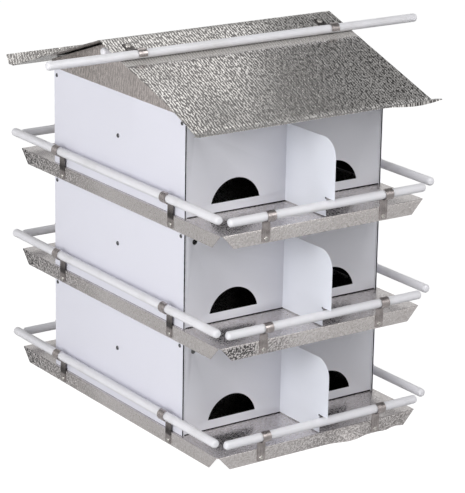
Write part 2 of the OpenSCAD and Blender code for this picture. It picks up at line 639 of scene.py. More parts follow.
@dataclass(frozen=True)
class Patch:
    """A soft-edged box in which a finish changes."""

    low: Spot
    high: Spot
    soft: Spot = even(0.5 * MM)
    amount: float = 1.0

    def share(self, n: Graph, source: str = "Object") -> Socket:
        """Gives how far a point is inside, from 0 to the patch's amount.

        Args:
            n: The material's nodes.
            source: "Object" or "UV".

        Returns:
            The share.
        """
        inside = None
        for axis, low, high, soft in zip("XYZ", self.low, self.high, self.soft):
            place = n.axis(source, axis)
            enter = n.span(place, low - soft, low + soft, 0, 1)
            leave = n.span(place, high - soft, high + soft, 1, 0)
            both = n.math("MULTIPLY", enter, leave)
            inside = both if inside is None else n.math("MULTIPLY", inside, both)
        return n.math("MULTIPLY", inside, self.amount)


@dataclass(frozen=True)
class EmbossedSheet:
    """Mill-finish aluminium sheet rolled with short slanting worm-like dashes.

    Its hollows are painted darker than its crests, as painted shade. Its patches are where the
    pattern is crisp, with deeper painted shade and paler crests; a band painted with the perch
    rod's reflection; the rooms' insides, painted dark as shade; single marks; and painted dark
    reflections.
    """

    name: str
    crest: Colour = (0.77, 0.75, 0.725)
    # The valley colour is painted shade in the hollows of the emboss.
    valley_shade: Colour = (0.22, 0.21, 0.205)
    rough: float = 0.25
    rough_swing: Range = (0.10, -0.06)
    depth: float = 0.75 * MM
    strength: float = 0.45
    period: float = 4.4 * MM
    waver: float = 3.4
    grain: float = 4.0 * MM
    dash_length: float = 7.0 * MM
    dash_width: float = 2.2 * MM
    slant: float = math.radians(84)
    line_share: float = 0.5
    break_warp: float = 0.3
    break_edge: Range = (0.35, 0.65)
    dash_edge: Range = (0.42, 0.62)
    # Where crisp, the painted shade in the hollows is deeper and the crests paler.
    crisp: Patch | None = None
    crisp_crest: Colour = (0.87, 0.85, 0.83)
    crisp_valley_shade: Colour = (0.11, 0.105, 0.102)
    crisp_rough: float = 0.20
    crisp_waver: float = 5.0
    # A band under the perch rod, painted paler with the rod's reflection, flatter and less
    # metallic.
    rod_reflection: Patch | None = None
    rod_reflection_share: float = 0.7
    rod_reflection_metal: float = 0.5
    rod_reflection_relief: float = 0.2
    # The deck inside the walls, painted near-black as shade.
    room: Patch | None = None
    marks: tuple[tuple[Patch, Colour], ...] = ()
    # Patches painted with dark reflections: near-black hollows and stronger relief.
    dark_reflections: tuple[Patch, ...] = ()
    # The near-black of the painted dark reflections and of the rooms' painted shade.
    painted_dark: Colour = even(0.035)
    dark_reflection_edge: Range = (0.42, 0.66)
    clouds_per_m: Spot = (9, 9, 1)
    cloud_turn: float = 0.4
    cloud_shade: Colour = (0.90, 0.89, 0.88)
    sways_per_m: Spot = (16, 16, 1)
    sway_depth: float = 0.8 * MM
    sway_strength: float = 0.25

    def make(self) -> bpy.types.Material:
        """Builds the node material.

        Returns:
            The finished material.
        """
        n = Nodes(self.name, Metallic=1.0)
        strength, base_rough, waver = self.strength, self.rough, self.waver
        if self.crisp:
            sharp = self.crisp.share(n)
            base_rough = n.span(sharp, 0, 1, base_rough, self.crisp_rough)
            waver = n.span(sharp, 0, 1, waver, self.crisp_waver)
        height = self.relief(n, waver)
        dash = n.span(height, *self.dash_edge, 0, 1)
        # The hollows are painted darker than the crests: painted shade.
        tint = n.mix(dash, self.valley_shade, self.crest)
        if self.crisp:
            tint = n.mix(sharp, tint, n.mix(dash, self.crisp_valley_shade, self.crisp_crest))
        # Painted dark reflections: near-black hollows and stronger relief.
        if self.dark_reflections:
            painted_dark = self.dark_reflections[0].share(n)
            for patch in self.dark_reflections[1:]:
                painted_dark = n.math("MAXIMUM", painted_dark, patch.share(n))
            blots = n.span(height, *self.dark_reflection_edge, 0, 1)
            tint = n.mix(painted_dark, tint, n.mix(blots, self.painted_dark, self.crest))
            strength = n.span(painted_dark, 0, 1, self.strength, 1)
        # The band under the perch rod is painted with the rod's reflection.
        if self.rod_reflection:
            wear_and_reflection = self.rod_reflection.share(n, "UV")
            tint = n.mix(n.math("MULTIPLY", wear_and_reflection, self.rod_reflection_share), tint, self.crest)
            strength = n.span(wear_and_reflection, 0, 1, self.strength, self.rod_reflection_relief * self.strength)
            n.wear(Metallic=n.span(wear_and_reflection, 0, 1, 1, self.rod_reflection_metal))
        # The rooms' insides are painted near-black: painted shade.
        if self.room:
            tint = n.mix(self.room.share(n), tint, self.painted_dark)
        for patch, colour in self.marks:
            tint = n.mix(patch.share(n), tint, colour)
        cloud = n.noise(n.place("UV", self.clouds_per_m, self.cloud_turn), 3)
        shade = n.ramp(cloud, [(0.3, self.cloud_shade), (0.7, WHITE)])
        sway = n.noise(n.place("UV", self.sways_per_m), 1)
        base = n.bump(sway, self.sway_depth, self.sway_strength)
        n.wear(
            Base_Color=n.mix(1.0, tint, shade, "MULTIPLY"),
            Normal=n.bump(dash, self.depth, strength, base),
            Roughness=n.math("ADD", n.span(height, 0.3, 0.7, *self.rough_swing), base_rough),
        )
        return n.material

    def relief(self, n: Graph, waver: Value) -> Socket:
        """Lays out the rolled pattern: wavering lines, broken up into dashes.

        Args:
            n: The material's nodes.
            waver: How far the lines waver.

        Returns:
            The relief's height, from 0 to 1.
        """
        flow = n.place("UV", even(1), self.slant - math.pi / 2)
        lines = n.bands(flow, self.period, waver, self.grain)
        cut = n.place("UV", (1 / self.dash_length, 1 / self.dash_width, 1), self.slant)
        breaks = n.span(n.noise(cut, 0.5, self.break_warp), *self.break_edge, 0, 1)
        return n.math(
            "ADD",
            n.math("MULTIPLY", lines, self.line_share),
            n.math("MULTIPLY", breaks, 1 - self.line_share),
        )


@dataclass(frozen=True)
class WhiteEnamel:
    """Baked white enamel, with painted dark shade on the face that looks into the room.

    With a top shade, it is painted darker by that share from each deck up to the dividers' tops,
    as painted shade.
    """

    name: str
    coat: Colour = (0.785, 0.79, 0.845)
    grime: Colour = (0.66, 0.66, 0.67)
    inner_shade: Colour = (0.016, 0.016, 0.017)
    inward: Spot = NOWHERE
    rough: float = 0.30
    gloss: float = 0.25
    gloss_rough: float = 0.12
    specular: float = 0.5
    top_shade: float = 0.0
    storey: float = 152.0 * MM
    deck_top: float = 19.5 * MM
    divider_h: float = 108.0 * MM
    clouds_per_m: float = 11
    cloud_film: Range = (0, 0.06)
    runs_per_m: Spot = (90, 90, 6)
    run_film: Range = (0.4, 1)
    rough_swing: float = 0.08
    inner_edge: Range = (0.6, 0.8)
    skin_per_m: float = 260
    skin_depth: float = 0.05 * MM
    skin_strength: float = 0.10
    waves_per_m: float = 14
    wave_depth: float = 1.2 * MM
    wave_strength: float = 0.08

    def make(self) -> bpy.types.Material:
        """Builds the node material.

        Returns:
            The finished material.
        """
        n = Nodes(self.name, Coat_Weight=self.gloss, Coat_Roughness=self.gloss_rough)
        cloud = n.spots(even(self.clouds_per_m), 4)
        runs = n.spots(self.runs_per_m)
        film = n.math(
            "MULTIPLY",
            n.span(cloud, 0.1, 0.9, *self.cloud_film),
            n.span(runs, 0.1, 0.9, *self.run_film),
        )
        colour = n.mix(film, self.coat, self.grime)
        # Painted shade: darker from each deck up to the dividers' tops.
        if self.top_shade:
            above = n.math("MODULO", n.axis("Object", "Z"), self.storey)
            rise = n.span(above, self.deck_top, self.deck_top + self.divider_h, 0, 1)
            shade_towards_top = n.ramp(rise, [(0, WHITE), (1, even(1 - self.top_shade))])
            colour = n.mix(1.0, colour, shade_towards_top, "MULTIPLY")
        # Faces looking into the room are painted near-black, without gloss: painted shade.
        if self.inward != NOWHERE:
            facing = n.add("ShaderNodeTexCoord")
            look = n.add("ShaderNodeVectorMath", operation="DOT_PRODUCT")
            look.inputs[1].default_value = self.inward
            n.join(facing.outputs["Normal"], look.inputs[0])
            inner = n.span(look.outputs["Value"], *self.inner_edge, 0, 1)
            colour = n.mix(inner, colour, self.inner_shade)
            n.wear(
                Coat_Weight=n.span(inner, 0, 1, self.gloss, 0),
                Specular_IOR_Level=n.span(inner, 0, 1, self.specular, 0),
            )
        skin = n.spots(even(self.skin_per_m))
        wave = n.spots(even(self.waves_per_m), 1)
        base = n.bump(wave, self.wave_depth, self.wave_strength)
        n.wear(
            Base_Color=colour,
            Normal=n.bump(skin, self.skin_depth, self.skin_strength, base),
            Roughness=n.span(cloud, 0.2, 0.8, self.rough, self.rough + self.rough_swing),
        )
        return n.material


@dataclass(frozen=True)
class WhiteRod:
    """Smooth white plastic rod with faint drawing lines along it, a little handling grime and
    painted shade on its underside.
    """

    name: str
    along: Spot = (8, 700, 700)
    body: Colour = (0.84, 0.835, 0.87)
    grime: Colour = (0.62, 0.61, 0.60)
    underside_shade: Colour = (0.50, 0.50, 0.51)
    under_shade_share: float = 0.75
    under_shade_edge: Range = (-0.9, -0.1)
    glow: float = 0.04
    glow_reach: float = 2.0 * MM
    refraction: float = 1.49
    rough: Range = (0.26, 0.42)
    clouds_per_m: float = 26
    cloud_edge: Range = (0.52, 0.80)
    cloud_film: float = 0.45
    cloud_depth: float = 0.3 * MM
    cloud_strength: float = 0.15
    line_depth: float = 0.06 * MM
    line_strength: float = 0.25

    def make(self) -> bpy.types.Material:
        """Builds the node material.

        Returns:
            The finished material.
        """
        n = Nodes(
            self.name,
            Subsurface_Weight=self.glow,
            Subsurface_Radius=even(self.glow_reach),
            IOR=self.refraction,
        )
        lines = n.spots(self.along)
        cloud = n.spots(even(self.clouds_per_m), 4)
        film = n.span(cloud, *self.cloud_edge, 0, self.cloud_film)
        colour = n.mix(film, self.body, self.grime)
        # Faces that look down are painted darker: painted shade and dark reflection.
        below = n.span(n.axis("Normal", "Z"), *self.under_shade_edge, self.under_shade_share, 0)
        base = n.bump(cloud, self.cloud_depth, self.cloud_strength)
        n.wear(
            Base_Color=n.mix(below, colour, self.underside_shade),
            Normal=n.bump(lines, self.line_depth, self.line_strength, base),
            Roughness=n.span(lines, 0.3, 0.7, *self.rough),
        )
        return n.material


@dataclass(frozen=True)
class StrapMetal:
    """Dull bent strap or fastener metal with brushing and tarnish.

    Its painted tones are greys of painted shade and reflection at distances in millimetres down a
    strap from its rod's middle. The porch's painted tones take over where a strap is nearer the
    house's middle than the porch's end.
    """

    name: str
    bright: Colour = (0.40, 0.365, 0.35)
    tarnish: Colour = (0.17, 0.14, 0.13)
    brush: Spot = (900, 900, 40)
    rough: float = 0.27
    rough_swing: Range = (0.12, -0.10)
    blots_per_m: float = 150
    blot_film: Range = (0.35, 1)
    blot_depth: float = 0.2 * MM
    blot_strength: float = 0.2
    line_film: Range = (0.4, 1)
    line_depth: float = 0.05 * MM
    line_strength: float = 0.3
    tail: float = 50.0 * MM
    green: float = 0.97
    painted_tones: Tones = ()
    porch_painted_tones: Tones = ()
    porch_end: Range = (0.12, 0.14)

    def ramp(self, n: Graph, down: Socket, painted_tones: Tones) -> Socket:
        """Gives the grey at each distance down a strap, where 1 is the tail's length."""
        stops = [(at * MM / self.tail, (grey, self.green * grey, grey)) for at, grey in painted_tones]
        return n.ramp(down, stops)

    def make(self) -> bpy.types.Material:
        """Builds the node material.

        Returns:
            The finished material.
        """
        n = Nodes(self.name, Metallic=1.0)
        lines = n.spots(self.brush)
        blots = n.spots(even(self.blots_per_m), 3)
        wear_and_reflection = n.math(
            "MULTIPLY",
            n.span(lines, 0.3, 0.7, *self.line_film),
            n.span(blots, 0.35, 0.65, *self.blot_film),
        )
        colour = n.mix(wear_and_reflection, self.tarnish, self.bright)
        # The greys down the strap are painted shade and reflection.
        if self.painted_tones:
            down = n.span(n.axis("UV", "Y"), 0, self.tail, 0, 1)
            painted_tone = self.ramp(n, down, self.painted_tones)
            if self.porch_painted_tones:
                across = n.math("ABSOLUTE", n.axis("Object", "X"), 0)
                near = n.span(across, *self.porch_end, 1, 0)
                painted_tone = n.mix(near, painted_tone, self.ramp(n, down, self.porch_painted_tones))
            colour = n.mix(1.0, colour, painted_tone, "MULTIPLY")
        base = n.bump(blots, self.blot_depth, self.blot_strength)
        rough_ends = (self.rough + swing for swing in self.rough_swing)
        n.wear(
            Base_Color=colour,
            Normal=n.bump(lines, self.line_depth, self.line_strength, base),
            Roughness=n.span(blots, 0.3, 0.7, *rough_ends),
        )
        return n.material


# ---------------------------------------------------------------- shared shapes


@dataclass
class Builder:
    """What every sub-assembly shares: the sheet's gauge and how its pieces are dressed and hung on
    the frame.
    """

    sheet: float = 0.8 * MM

    def finish(
        self, piece: Piece, slot: Slot, material: bpy.types.Material, *nodes: str
    ) -> Piece:
        """Dresses a finished piece, hangs it on the frame and hides the CAD nodes that it
        replaces.

        Args:
            piece: The finished piece, with its place in its mesh.
            slot: The record's slot that its finish belongs to; not used.
            material: Its material.
            nodes: The CAD nodes that it replaces.

        Returns:
            The same piece.
        """
        if len(piece.data.materials) == 0:
            piece.data.materials.append(material)
        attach(piece, BODY)
        if nodes:
            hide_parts(*nodes)
        log.info("%s: %d faces", piece.name, len(piece.data.polygons))
        return piece

    def eased_copy(self, node: str, name: str, edge: float = 0.2 * MM) -> Piece:
        """Copies a cut plate from the frame and eases its sharp edges.

        Args:
            node: The CAD node that is copied.
            name: The new piece's name.
            edge: The width of the eased edge.

        Returns:
            The copy, with clean faces.
        """
        piece = bpy.data.objects.new(name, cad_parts[node].data.copy())
        piece.data.materials.clear()
        bpy.context.scene.collection.objects.link(piece)
        with Bench.editing(piece, Part.VERT):
            bpy.ops.mesh.select_all(action="SELECT")
            bpy.ops.mesh.remove_doubles(threshold=0.005 * MM)
            bpy.ops.mesh.dissolve_limited(angle_limit=math.radians(0.5))
            bpy.ops.mesh.normals_make_consistent(inside=False)
        Bench.modify(piece, "BEVEL", width=edge, segments=2, limit_method="ANGLE", angle_limit=0.9)
        Bench.smooth(piece)
        return piece


@dataclass
class Rods(Builder):
    """White plastic rods: the rails round the decks, the perch rod and the ridge rod."""

    rounding: float = 4.0 * MM
    sides: int = 40
    steps: int = 5
    smooth_below: float = math.radians(50)

    def turned(self, node: str, name: str, axis: Axis) -> Piece:
        """Makes a smooth rod with rounded ends where a CAD rod lies.

        Args:
            node: The CAD rod.
            name: The new piece's name.
            axis: The way that it lies.

        Returns:
            The rod.
        """
        low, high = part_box(node)
        middle = (low + high) / 2
        size = high - low
        length, radius = max(size.x, size.y), size.z / 2
        piece = Bench.cylinder(name, self.sides, radius, length, middle, axis.value)
        ends = (0 if axis is Axis.ALONG_RIDGE else 1, length / 2 - 0.1 * MM)
        with Bench.editing(piece, Part.EDGE):
            Bench.pick(
                piece,
                Part.EDGE,
                lambda at, way: abs(at[ends[0]] - middle[ends[0]]) > ends[1],
            )
            bpy.ops.mesh.bevel(offset=self.rounding, segments=self.steps, affect="EDGES")
        Bench.smooth(piece, self.smooth_below)
        return piece


@dataclass
class StrapClips(Builder):
    """Strap clips bent round a rod, each with a fastener through its tail."""

    width: float = 13.0 * MM
    gauge: float = 0.8 * MM
    reach: float = 7.0 * MM
    foot_round: float = 2.2 * MM
    head_radius: float = 3.2 * MM
    head_height: float = 1.3 * MM
    head_sides: int = 28
    pin_radius: float = 1.1 * MM
    pin_sunk: float = 0.7
    head_round: float = 0.9
    ring_turn: float = 1.5 * math.pi
    ring_steps: int = 27

    def strap(self, drop: float) -> Piece:
        """Bends one strap round a rod that runs along X through the origin.

        The tail lies in the plane at +Y and hangs down by drop; the ring goes over the top and
        ends under the rod.

        Args:
            drop: How far the tail reaches below the rod's middle.

        Returns:
            The strap.
        """
        piece = Bench.plane(
            "strap",
            (0, self.reach, -drop / 2),
            (-math.pi / 2, 0, 0),
            (self.width, 1, drop),
        )
        with Bench.editing(piece, Part.VERT):
            Bench.pick(piece, Part.VERT, lambda at, way: at.z < -drop + 0.1 * MM)
            bpy.ops.mesh.bevel(offset=self.foot_round, segments=3, affect="VERTICES")
        with Bench.editing(piece, Part.EDGE):
            Bench.pick(piece, Part.EDGE, lambda at, way: at.z > -NEAR and abs(way.x) > MM)
            bpy.ops.mesh.spin(
                steps=self.ring_steps, angle=self.ring_turn, center=NOWHERE, axis=(1, 0, 0)
            )
        with Bench.editing(piece, Part.VERT):
            bpy.ops.mesh.select_all(action="SELECT")
            bpy.ops.mesh.remove_doubles(threshold=NEAR)
        Bench.thicken(piece, self.gauge, (0, 1, 0))

        def down_the_tail(point: Vector, normal: Vector) -> tuple[float, float]:
            """Measures how far down the tail a point is.

            Args:
                point: The point.
                normal: Its face's normal, which counts for nothing here.

            Returns:
                Its place across the strap, and how far it lies below the rod's middle, which is
                0 on the ring.
            """
            in_ring = point.y < self.reach - 2 * self.gauge
            return point.x, 0.0 if in_ring else max(0.0, -point.z)

        Bench.map_sheet(piece, down_the_tail)
        return piece

    def rivet(self) -> Piece:
        """Makes one domed fastener head that looks along -Y, its seat at the origin.

        Returns:
            The fastener.
        """
        middle, turn = (0, -self.head_height / 2, 0), (math.pi / 2, 0, 0)
        piece = Bench.cylinder(
            "rivet", self.head_sides, self.head_radius, self.head_height, middle, turn
        )
        with Bench.editing(piece, Part.FACE):
            Bench.pick(piece, Part.FACE, lambda at, way: way.y < -0.9)
            bpy.ops.mesh.inset(thickness=self.head_radius - self.pin_radius)
            bpy.ops.mesh.extrude_region_move(
                TRANSFORM_OT_translate={"value": (0, self.pin_sunk * self.head_height, 0)}
            )
        rim = self.head_height - 0.05 * MM

        def on_rim(at: Vector, way: Vector) -> bool:
            """Says whether an edge is part of the rim of the head's face."""
            return at.y < -rim and at.length > 0.8 * self.head_radius and abs(way.y) < MM / 9

        with Bench.editing(piece, Part.EDGE):
            Bench.pick(piece, Part.EDGE, on_rim)
            bpy.ops.mesh.bevel(
                offset=self.head_round * self.head_height, segments=4, affect="EDGES"
            )
        Bench.smooth(piece)
        return piece


# ---------------------------------------------------------------- the storeys


@dataclass
class Storey(StrapClips):
    """One storey: its deck, walls, end panels, dividers, rails and clips."""

    name: str = "lower"
    bend: float = 0.9 * MM
    relief: float = 2.0 * MM
    apron_cut: float = 20.0 * MM
    porch_clip_x: float = 96.0 * MM
    end_clip_y: float = 138.0 * MM
    porch_rail_h: float = 19.0 * MM
    end_rail_h: float = 24.0 * MM
    strap_foot: float = 1.5 * MM
    rivet_h: float = 6.0 * MM
    rivet_turn: float = 0.7
    strip_w: float = 1.5 * MM
    strip_gauge: float = 0.48 * MM
    strip_edge: float = 0.08 * MM
    panel_gap: float = 0.1 * MM
    panel_cuts: int = 5
    groove_deep: float = 3.5 * MM
    strip_face: float = 0.2 * MM
    pin_y: float = 158.0 * MM
    pin_h: float = 127.0 * MM
    centre_pin_y: float = 3.0 * MM
    centre_pin_h: float = 76.0 * MM
    pin_size: float = 0.85
    centre_pin_size: float = 0.85 * 1.15
    divider_pin_y: float = 254.5 * MM
    divider_pin_h: float = 26.5 * MM
    divider_pin_size: float = 0.42
    dents: tuple[tuple[float, float, float, float], ...] = ()
    dent_cuts: int = 47
    finishes: dict[str, bpy.types.Material] = field(default_factory=dict)

    def node(self, piece: str) -> str:
        """Gives the name of this storey's CAD node."""
        return f"{self.name}_{piece}"

    @staticmethod
    def on_side(turn: Turn, along: float, out: float, up: float) -> Matrix:
        """Gives a place on one side of the house, for a thing made to stand on its front.

        Args:
            turn: The side.
            along: How far it is right of the side's middle, seen from outside.
            out: How far it is out of the house's middle.
            up: Its height.

        Returns:
            The place.
        """
        return Matrix.Rotation(turn.value, 4, "Z") @ Matrix.Translation((along, -out, up))

    def build_deck(self) -> None:
        """Folds the deck from one blank, with an apron down each edge and open corners."""
        low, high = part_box(self.node("deck"))
        wide, deep, top, drop = high.x - low.x, high.y - low.y, high.z, high.z - low.z
        piece = Bench.plane(self.node("folded_deck"), (0, 0, top), (0, 0, 0), (wide, deep, 1))
        with Bench.editing(piece, Part.VERT):
            bpy.ops.mesh.select_all(action="SELECT")
            bpy.ops.mesh.bevel(offset=self.relief, segments=1, affect="VERTICES")
        tall = (deep - 2 * self.apron_cut) / (deep - 2 * self.relief)
        broad = (wide - 2 * self.apron_cut) / (wide - 2 * self.relief)
        with Bench.editing(piece, Part.EDGE):
            for side in (-1, 1):
                edge_y, edge_x = side * deep / 2, side * wide / 2
                Bench.pick(piece, Part.EDGE, lambda at, way: close(at.y, edge_y) and close(at.x))
                Bench.fold_out((0, 0, -drop), (broad, 1, 1), (0, edge_y, top - drop))
                Bench.pick(piece, Part.EDGE, lambda at, way: close(at.x, edge_x) and close(at.y))
                Bench.fold_out((0, 0, -drop), (1, tall, 1), (edge_x, 0, top - drop))
            Bench.pick(
                piece,
                Part.EDGE,
                lambda at, way: close(at.z, top) and (close(at.x) or close(at.y)),
            )
            bpy.ops.mesh.bevel(offset=self.bend, segments=4, affect="EDGES")
        if self.dents:
            self.dent_apron(piece, -deep / 2, top - drop, wide / 2 - self.apron_cut)
        Bench.thicken(piece, self.sheet, (0, 0, 1))

        def laid_flat(point: Vector, normal: Vector) -> tuple[float, float]:
            """Unfolds an apron outwards past the deck's edge.

            Args:
                point: A point of the folded deck.
                normal: Its face's normal.

            Returns:
                Its place on the flat blank.
            """
            fall = top - point.z
            if abs(normal.x) > 0.7:
                return point.x + math.copysign(fall, point.x), point.y
            if abs(normal.y) > 0.7:
                return point.x, point.y + math.copysign(fall, point.y)
            return point.x, point.y

        Bench.map_sheet(piece, laid_flat)
        self.finish(piece, Slot.SHEET, self.finishes["deck"], self.node("deck"))

    def dent_apron(self, piece: Piece, edge_y: float, foot: float, half: float) -> None:
        """Knocks shallow waves into the lower edge of the front apron.

        Args:
            piece: The deck's open skin.
            edge_y: Where the front apron stands.
            foot: The height of its lower edge.
            half: Half the length of that edge.
        """
        with Bench.editing(piece, Part.EDGE):
            Bench.pick(
                piece,
                Part.EDGE,
                lambda at, way: close(at.x) and close(at.y, edge_y) and abs(way.x) > half,
            )
            bpy.ops.mesh.subdivide(number_cuts=self.dent_cuts)
        step = 2 * half / (self.dent_cuts + 1)
        with Bench.editing(piece, Part.VERT):
            for column in range(self.dent_cuts + 2):
                x = column * step - half
                out = up = 0.0
                for middle, reach, far, high in self.dents:
                    share = 0.5 + 0.5 * math.cos(math.pi * min(1, abs(x - middle) / reach))
                    out, up = out + share * far, up + share * high
                if max(out, up) > 0.05 * MM:
                    place = Vector((x, edge_y, foot))
                    Bench.pick(piece, Part.VERT, lambda at, way: (at - place).length < step / 4)
                    bpy.ops.transform.translate(value=(0, -out, up))

    def build_end_panels(self) -> None:
        """Cuts both end plates and folds the seam strip behind each of their upright edges."""
        for side, word in ((-1, "left"), (1, "right")):
            node = self.node(f"{word}_end_panel")
            low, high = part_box(node)
            face, inner = (low.x, high.x) if side < 0 else (high.x, low.x)
            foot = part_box(self.node("deck"))[1].z + self.panel_gap
            tall, mid_z = high.z - foot, (foot + high.z) / 2
            plate = Bench.plane(
                self.node(f"{word}_end_plate"),
                (face, 0, mid_z),
                (0, side * math.pi / 2, 0),
                (1, high.y - low.y, tall),
            )
            with Bench.editing(plate, Part.EDGE):
                bpy.ops.mesh.select_all(action="SELECT")
                bpy.ops.mesh.subdivide(number_cuts=self.panel_cuts)
            Bench.thicken(plate, self.sheet, (side, 0, 0))
            self.finish(plate, Slot.ENAMEL, self.finishes[f"{word}_panel"], node)
            for out, end in ((-1, "front"), (1, "back")):
                edge_y = out * high.y
                strip_mid = inner + side * self.strip_w / 2
                strip = Bench.plane(
                    self.node(f"{word}_{end}_seam_strip"),
                    (strip_mid, edge_y, mid_z),
                    (-out * math.pi / 2, 0, 0),
                    (self.strip_w, 1, tall),
                )
                groove_x = inner + side * self.strip_w
                reach = face - side * self.sheet - groove_x
                with Bench.editing(strip, Part.EDGE):
                    Bench.pick(strip, Part.EDGE, lambda at, way: close(at.x, groove_x))
                    Bench.fold_out((0, -out * self.groove_deep, 0))
                    Bench.fold_out((reach, 0, 0))
                Bench.thicken(strip, self.strip_gauge, (0, out, 0), self.strip_edge)
                for finish in (f"{end}_wall", "seam"):
                    strip.data.materials.append(self.finishes[finish])
                for polygon in strip.data.polygons:
                    faces_out = polygon.normal.y * out > 0.5
                    at_face = polygon.center.y * out > high.y - self.strip_face
                    polygon.material_index = 0 if faces_out and at_face else 1
                self.finish(strip, Slot.ENAMEL, self.finishes["seam"])

    def build_pins(self) -> None:
        """Sets the small dark fasteners in the end panels and the divider plates."""
        plate_out = -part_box(self.node("left_end_panel"))[0].x
        divider_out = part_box(self.node("front_divider"))[1].x
        floor_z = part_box(self.node("deck"))[1].z
        spots = [(hand * self.pin_y, self.pin_h, self.pin_size) for hand in (-1, 1)]
        spots.append((self.centre_pin_y, self.centre_pin_h, self.centre_pin_size))
        seats = []
        for turn, back in ((Turn.LEFT, 1), (Turn.RIGHT, -1)):
            for y, up, size in spots:
                place = self.on_side(turn, back * y, plate_out, floor_z + up)
                seats.append(place @ Matrix.Scale(size, 4))
        for turn in (Turn.LEFT, Turn.RIGHT):
            for hand in (-1, 1):
                along, up = hand * self.divider_pin_y, floor_z + self.divider_pin_h
                place = self.on_side(turn, along, divider_out, up)
                seats.append(place @ Matrix.Scale(self.divider_pin_size, 4))
        pins = Bench.repeat(self.rivet(), self.node("panel_pins"), seats)
        self.finish(pins, Slot.STRAP, self.finishes["pin"])

    def build_walls(self) -> None:
        """Eases the pierced front and back walls and the porch dividers."""
        for word in ("front", "back"):
            node = self.node(f"{word}_wall")
            wall = self.eased_copy(node, self.node(f"{word}_pierced_wall"))
            self.finish(wall, Slot.ENAMEL, self.finishes[f"{word}_wall"], node)
            node = self.node(f"{word}_divider")
            plate = self.eased_copy(node, self.node(f"{word}_divider_plate"))
            self.finish(plate, Slot.ENAMEL, self.finishes["divider"], node)

    def build_rails(self, rods: Rods) -> None:
        """Turns the four rails round the deck.

        Args:
            rods: The maker of rods.
        """
        for word, axis in (
            ("front", Axis.ALONG_RIDGE),
            ("back", Axis.ALONG_RIDGE),
            ("left", Axis.ACROSS_HOUSE),
            ("right", Axis.ACROSS_HOUSE),
        ):
            node = self.node(f"{word}_rail")
            rail = rods.turned(node, self.node(f"{word}_rail_rod"), axis)
            key = "rod_x" if axis is Axis.ALONG_RIDGE else "rod_y"
            self.finish(rail, Slot.ROD, self.finishes[key], node)

    def build_clips(self) -> None:
        """Bends the eight clips round the rails and sets a fastener in each."""
        low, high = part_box(self.node("deck"))
        apron = high.z - low.z
        sides = (
            ("porch", self.porch_rail_h, self.porch_clip_x, high.y, (Turn.FRONT, Turn.BACK)),
            ("end", self.end_rail_h, self.end_clip_y, high.x, (Turn.LEFT, Turn.RIGHT)),
        )
        straps, heads = [], []
        for word, rail_h, along, out, turns in sides:
            places, seats = [], []
            for turn in turns:
                for hand in (-1, 1):
                    at = hand * along
                    places.append(self.on_side(turn, at, out + self.reach, high.z + rail_h))
                    seat = self.on_side(turn, at, out + self.gauge, low.z + self.rivet_h)
                    swing = Matrix.Rotation(self.rivet_turn * hand + turn.value, 4, "Y")
                    seats.append(seat @ swing)
            drop = rail_h + apron - self.strap_foot
            straps.append(Bench.repeat(self.strap(drop), f"{word}_straps", places))
            heads.append(Bench.repeat(self.rivet(), f"{word}_heads", seats))
        clips = Bench.join(self.node("bent_clips"), straps)
        self.finish(clips, Slot.STRAP, self.finishes["strap"], self.node("rail_clips"))
        pins = Bench.join(self.node("clip_rivets"), heads)
        self.finish(pins, Slot.STRAP, self.finishes["rivet"])

    def build(self, rods: Rods) -> None:
        """Builds the storey from its deck up.

        Args:
            rods: The maker of rods.
        """
        self.build_deck()
        self.build_end_panels()
        self.build_pins()
        self.build_walls()
        self.build_rails(rods)
        self.build_clips()


# ---------------------------------------------------------------- the roof


